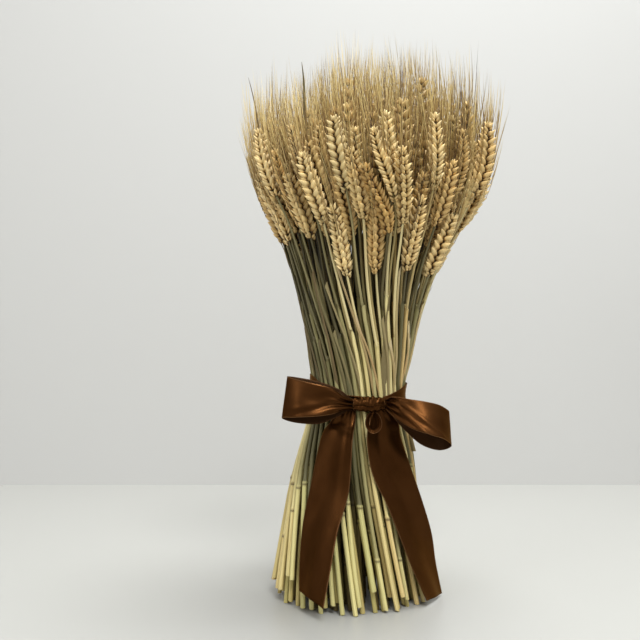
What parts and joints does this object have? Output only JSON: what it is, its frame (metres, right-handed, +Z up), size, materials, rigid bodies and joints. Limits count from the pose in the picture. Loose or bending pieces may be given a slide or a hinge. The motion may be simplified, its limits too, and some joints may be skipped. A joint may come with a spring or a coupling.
{
  "type": "dried wheat sheaf",
  "caption": "Standing sheaf of dried bearded wheat, twisted and flared above and below a wide satin ribbon that is tied round its waist in a bow; it stands on its cut straws",
  "frame": {"origin": "on the surface, at the cut end of the middle straw", "axes": "+Z up along the sheaf, -Y towards the front of the bow, +X to the right of the bow"},
  "size_m": [0.2659, 0.2768, 0.5133],
  "materials": {
    "straw": "dry straw, low sheen, green to tan",
    "ear": "dry husk, low sheen, golden tan",
    "leaf": "dry, dull, grey green",
    "ribbon": "satin"
  },
  "bodies": {
    "root": {"stalk_01": "straw", "stalk_02": "straw", "stalk_03": "straw", "stalk_04": "straw", "stalk_05": "straw", "stalk_06": "straw", "stalk_07": "straw", "stalk_08": "straw", "stalk_09": "straw", "stalk_10": "straw", "stalk_11": "straw", "stalk_12": "straw", "stalk_13": "straw", "stalk_14": "straw", "stalk_15": "straw", "stalk_16": "straw", "stalk_17": "straw", "stalk_18": "straw", "stalk_19": "straw", "stalk_20": "straw", "stalk_21": "straw", "stalk_22": "straw", "stalk_23": "straw", "stalk_24": "straw", "stalk_25": "straw", "stalk_26": "straw", "stalk_27": "straw", "stalk_28": "straw", "stalk_29": "straw", "stalk_30": "straw", "stalk_31": "straw", "stalk_32": "straw", "stalk_33": "straw", "stalk_34": "straw", "stalk_35": "straw", "stalk_36": "straw", "stalk_37": "straw", "stalk_38": "straw", "stalk_39": "straw", "stalk_40": "straw", "stalk_41": "straw", "stalk_42": "straw", "stalk_43": "straw", "stalk_44": "straw", "stalk_45": "straw", "stalk_46": "straw", "inner_bunch": "straw", "ribbon_band": "ribbon", "ribbon_knot": "ribbon", "ribbon_loop_left": "ribbon", "ribbon_loop_right": "ribbon", "ribbon_tail_left": "ribbon", "ribbon_tail_right": "ribbon", "ribbon_drop_loop": "ribbon"}
  },
  "joints": []
}
